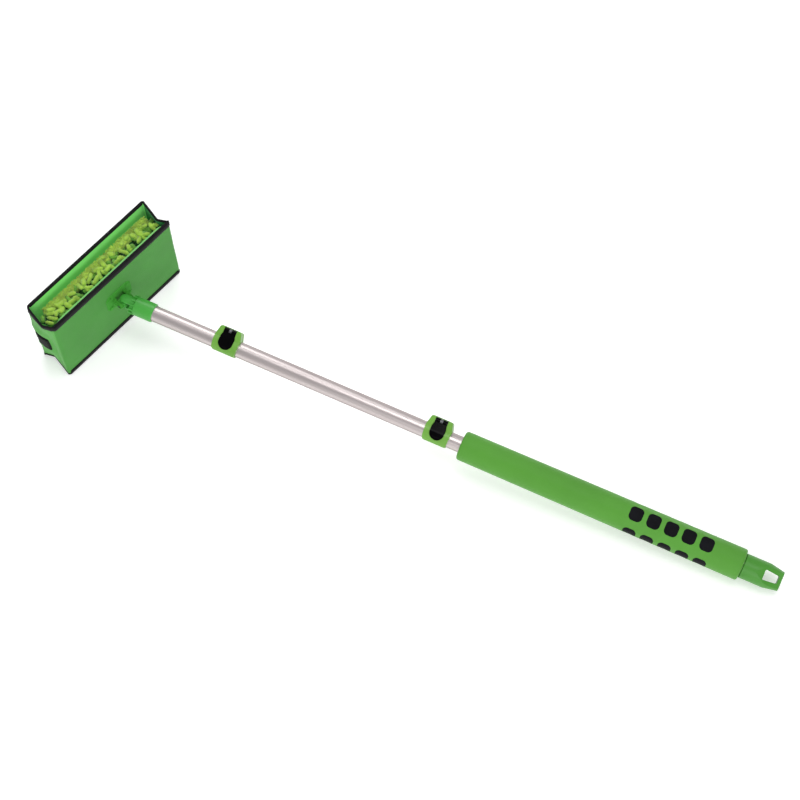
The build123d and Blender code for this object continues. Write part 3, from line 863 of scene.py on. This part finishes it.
# ---------------------------------------------------------------- the cleaning pad
PAD_MIDDLE = low("chenille_pile").x
PAD_BACK = low("short_pile").x
PAD_TOP = high("chenille_pile").z
PAD_LOW = low("chenille_pile").z
PAD_LEFT = low("chenille_pile").y
PAD_RIGHT = high("chenille_pile").y
STRAND_R = 3.5 * MM
STRAND_LENGTHS = (11, 17)  # shortest and longest, in millimetres
FLOP = 9.0 * MM            # spill past the pad's left end, and half as much past its right end
STRAND_FRONT = low("pad_backing").x - 2.5 * MM
STRAND_BACK = PAD_MIDDLE - 4.0 * MM
# Each lower layer takes a darker tone: painted shade in the depths of the strand heap.
LAYER_TONES = ("strand", "shaded_strand", "core", "core")
LAYER_STEP = 5.2 * MM
COLUMNS = 25
LANES = 2
GAPPY_LAYERS = 2           # layers at the top that leave a share of their places empty
GAP_SHARE = 0.15
TUFTS = 1500
NOISE_SEED = 11            # noise_vector differs from run to run without one


def strand(middle, direction, length, bend, radius, seed):
    """One chenille strand: a plump, bent, bumpy tube with round ends."""
    count = 12
    path = []
    radii = []
    for step in range(count):
        t = step / (count - 1)
        arch = bend * (1 - (2 * t - 1) ** 2)
        path.append(middle + direction * (t - 0.5) * length + arch)
        from_end = min(t, 1 - t) * length
        end = math.sqrt(max(0.03, 1 - max(0.0, 1 - from_end / radius) ** 2))
        radii.append(radius * end * (1 + 0.13 * math.sin(step * 2.2 + seed)))
    points, faces = tube_mesh(path, radii, 10, 0.2)
    bumpy = []
    for point in points:
        push = noise.noise_vector(point * 330 + Vector((seed, 0, 0)))
        bumpy.append(point + push * 0.8 * MM)
    return bumpy, faces


def random_direction(rng, flatness):
    """A direction that mostly lies level; flatness 1 keeps it level."""
    around = rng.uniform(0, 2 * math.pi)
    rise = rng.uniform(-1, 1) * (1 - flatness)
    level = math.sqrt(max(0.0, 1 - rise * rise))
    return Vector((level * math.cos(around), level * math.sin(around), rise))


def make_strands(materials):
    """The heap of strands that shows through the pouch's mouth, layer by layer from the top."""
    rng = random.Random(7)
    noise.seed_set(NOISE_SEED)
    left = PAD_LEFT - FLOP
    right = PAD_RIGHT + FLOP * 0.5
    for layer, tone in enumerate(LAYER_TONES):
        heap = []
        z = PAD_TOP - 1.0 * MM - layer * LAYER_STEP
        for column in range(COLUMNS):
            for lane in range(LANES):
                y = left + (column + rng.uniform(0.1, 0.9)) * (right - left) / COLUMNS
                x = STRAND_FRONT + (lane + rng.uniform(0.15, 0.85)) * (
                    (STRAND_BACK - STRAND_FRONT) / LANES
                )
                if layer < GAPPY_LAYERS and rng.random() < GAP_SHARE:
                    continue
                direction = random_direction(rng, 0.45)
                length = rng.uniform(*STRAND_LENGTHS) * MM
                bend = random_direction(rng, 0.2) * rng.uniform(1, 4) * MM
                slack = abs(direction.x) * length / 2 - 2 * MM
                x = min(STRAND_FRONT - slack, max(STRAND_BACK + slack, x))
                y = max(left + abs(direction.y) * length * 0.4, y)
                y = min(right - abs(direction.y) * length * 0.4, y)
                drop = abs(direction.z) * length * 0.3
                middle = Vector((x, y, z - drop + rng.uniform(-1, 1.5) * MM))
                plump = STRAND_R * rng.uniform(0.82, 1.12)
                heap.append(strand(middle, direction, length, bend, plump, rng.uniform(0, 50)))
        points, faces = merge(heap)
        name = f"chenille_layer_{layer + 1}"
        subdivide(new_piece(name, points, faces, materials[tone], "head"))


def make_fringe(materials):
    """Short tufts along the top of the pile band."""
    rng = random.Random(5)
    meshes = []
    for _ in range(TUFTS):
        foot = Vector((
            rng.uniform(PAD_BACK + 0.5 * MM, PAD_MIDDLE - 0.5 * MM),
            rng.uniform(PAD_LEFT + 2 * MM, PAD_RIGHT - 2 * MM),
            PAD_TOP - 3.5 * MM,
        ))
        lean = Vector((rng.uniform(-0.8, 0.6), rng.uniform(-1.0, 1.0), 0)) * MM
        tip = foot + lean + Vector((0, 0, rng.uniform(2.2, 4.0) * MM))
        path = [foot, foot.lerp(tip, 0.6) + lean * 0.2, tip]
        wide = rng.uniform(0.45, 0.75) * MM
        meshes.append(tube_mesh(path, [wide, wide * 0.9, wide * 0.4], 6))
    points, faces = merge(meshes)
    new_piece("short_pile_fringe", points, faces, materials["pile"], "head")


def rounded_block(name, lo, hi, radius, swell, material):
    """A soft block between two corners: a boxy pad with round edges and an uneven skin."""
    bm = bmesh.new()
    bmesh.ops.create_cube(bm, size=1.0)
    bmesh.ops.subdivide_edges(bm, edges=bm.edges, cuts=24, use_grid_fill=True)
    size = hi - lo
    centre = (lo + hi) / 2
    for vertex in bm.verts:
        flat = Vector((vertex.co.x * size.x, vertex.co.y * size.y, vertex.co.z * size.z))
        limit = Vector([max(half / 2 - radius, 0) for half in size])
        core = Vector([max(-limit[k], min(limit[k], flat[k])) for k in range(3)])
        away = flat - core
        if away.length > 1e-9:
            away = away.normalized() * min(radius, away.length)
        spot = centre + core + away
        vertex.co = spot + away * (noise.noise(spot * 160) * swell / max(radius, 1e-6))
    mesh = bpy.data.meshes.new(name)
    bm.to_mesh(mesh)
    bm.free()
    return place_mesh(mesh, material, "head")


def make_pad(materials):
    """Pad core, the band of short pile behind the strands, and the strands themselves."""
    # The core wears the darkest strand tone: painted shade under the strands.
    core = rounded_block(
        "pad_core", Vector((PAD_MIDDLE + 2 * MM, PAD_LEFT + 2 * MM, PAD_LOW)),
        Vector((high("pad_backing").x, PAD_RIGHT - 2 * MM, PAD_TOP - 14 * MM)),
        5 * MM, 1.0 * MM, materials["core"],
    )
    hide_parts("pad_backing", "chenille_pile")
    pile = rounded_block(
        "short_pile_band", Vector((PAD_BACK - 0.5 * MM, PAD_LEFT, PAD_LOW + 2 * MM)),
        Vector((PAD_MIDDLE + 3 * MM, PAD_RIGHT, PAD_TOP - 2.5 * MM)),
        5 * MM, 1.2 * MM, materials["pile"],
    )
    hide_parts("short_pile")
    make_strands(materials)
    make_fringe(materials)


# ---------------------------------------------------------------- assembly
add_camera()
add_studio()
materials = make_materials()
paint_cad(materials)
pouch = make_pouch(materials)
make_tape("rim_tape", True, "bag_rim_binding", materials)
make_tape("base_tape", False, "bag_base_binding", materials)
make_stitches("rim_stitches", RIM_Z - TAPE_HIGH + 1.6 * MM, -TAPE_THICK, materials)
make_tab(materials)
make_pad(materials)
